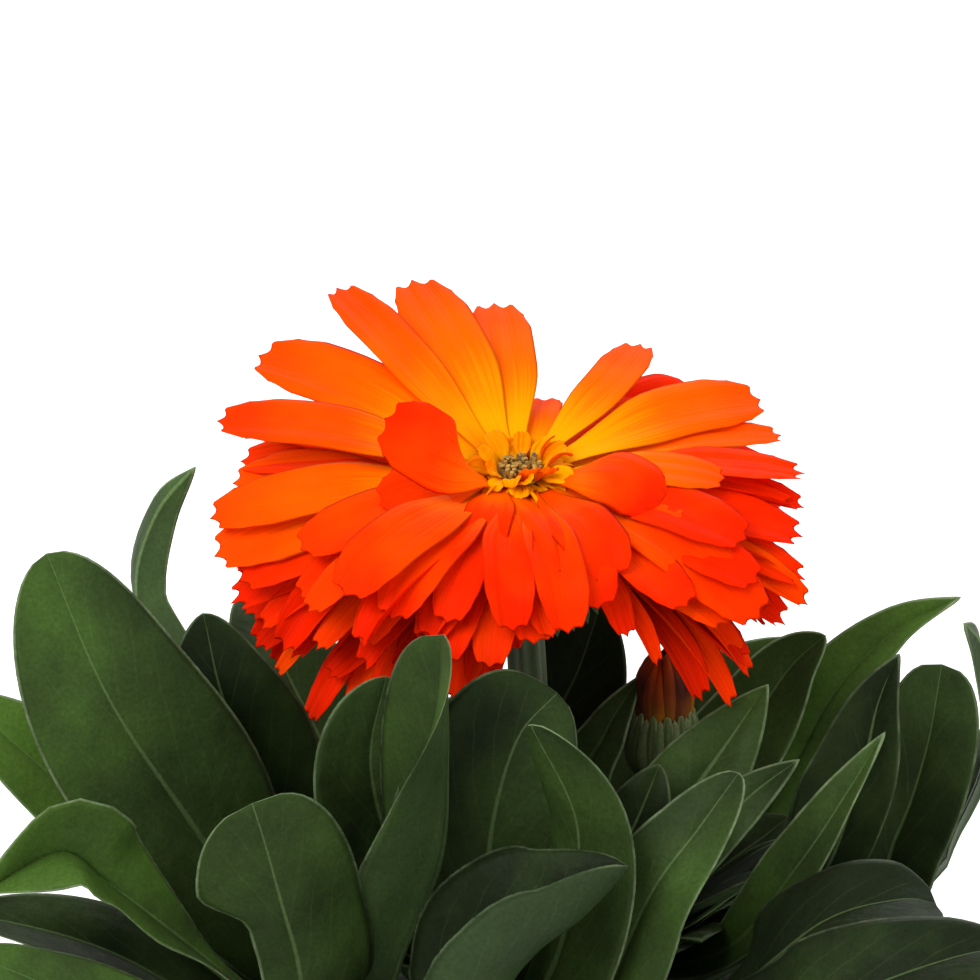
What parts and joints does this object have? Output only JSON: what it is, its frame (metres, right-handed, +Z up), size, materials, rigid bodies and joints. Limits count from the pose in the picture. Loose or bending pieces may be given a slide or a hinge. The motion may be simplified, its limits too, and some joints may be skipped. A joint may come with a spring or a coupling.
{
  "type": "potted pot marigold",
  "caption": "Leafy potted plant with an open orange double daisy-like flower above spoon-shaped leaves and a small bud, in a plain tapered pot of soil.",
  "frame": {"origin": "middle of the pot's flat underside", "axes": "+Z up along the pot's axis, -Y towards the side that the flower faces, +X to the viewer's right"},
  "size_m": [0.155, 0.151, 0.2095],
  "materials": {
    "leaf": "satin",
    "stem": "satin",
    "petal": "satin",
    "disc": "matte",
    "bud_petal": "matte",
    "pot": "matte",
    "soil": "matte"
  },
  "bodies": {
    "root": {"pot": "pot", "soil": "soil", "main_stem": "stem", "left_shoot": "stem", "right_shoot": "stem", "front_shoot": "stem", "back_shoot": "stem", "bud_stem": "stem", "ray_florets_1": "petal", "ray_florets_2": "petal", "ray_florets_3": "petal", "ray_florets_4": "petal", "ray_florets_5": "petal", "ray_florets_6": "petal", "ray_florets_7": "petal", "ray_florets_8": "petal", "inner_florets": "petal", "disc_florets": "disc", "receptacle": "stem", "involucre": "stem", "bud_cup": "stem", "bud_florets": "bud_petal", "leaf_left_broad": "leaf", "leaf_left_narrow": "leaf", "leaf_left_dark": "leaf", "leaf_left_far": "leaf", "leaf_left_folded": "leaf", "leaf_left_low": "leaf", "leaf_left_lowest": "leaf", "leaf_front_spoon": "leaf", "leaf_middle_dark": "leaf", "leaf_middle_folded": "leaf", "leaf_middle_broad": "leaf", "leaf_middle_right": "leaf", "leaf_front_cup": "leaf", "leaf_right_round": "leaf", "leaf_right_mid": "leaf", "leaf_right_grey": "leaf", "leaf_right_tall": "leaf", "leaf_right_back": "leaf", "leaf_right_top": "leaf", "leaf_right_behind": "leaf", "leaf_right_edge": "leaf", "leaf_right_low": "leaf", "leaf_right_lowest": "leaf", "leaf_under_flower": "leaf", "leaf_back_upright": "leaf", "leaf_back_right": "leaf", "leaf_back_left": "leaf", "leaf_back_tall_left": "leaf", "leaf_back_tall_right": "leaf", "leaf_back_middle": "leaf", "leaf_back_low": "leaf", "leaf_back_low_left": "leaf", "leaf_back_low_right": "leaf", "leaf_side_low_left": "leaf", "leaf_side_low_right": "leaf", "leaf_front_low_left": "leaf", "leaf_front_low_right": "leaf", "leaf_front_low": "leaf"}
  },
  "joints": []
}
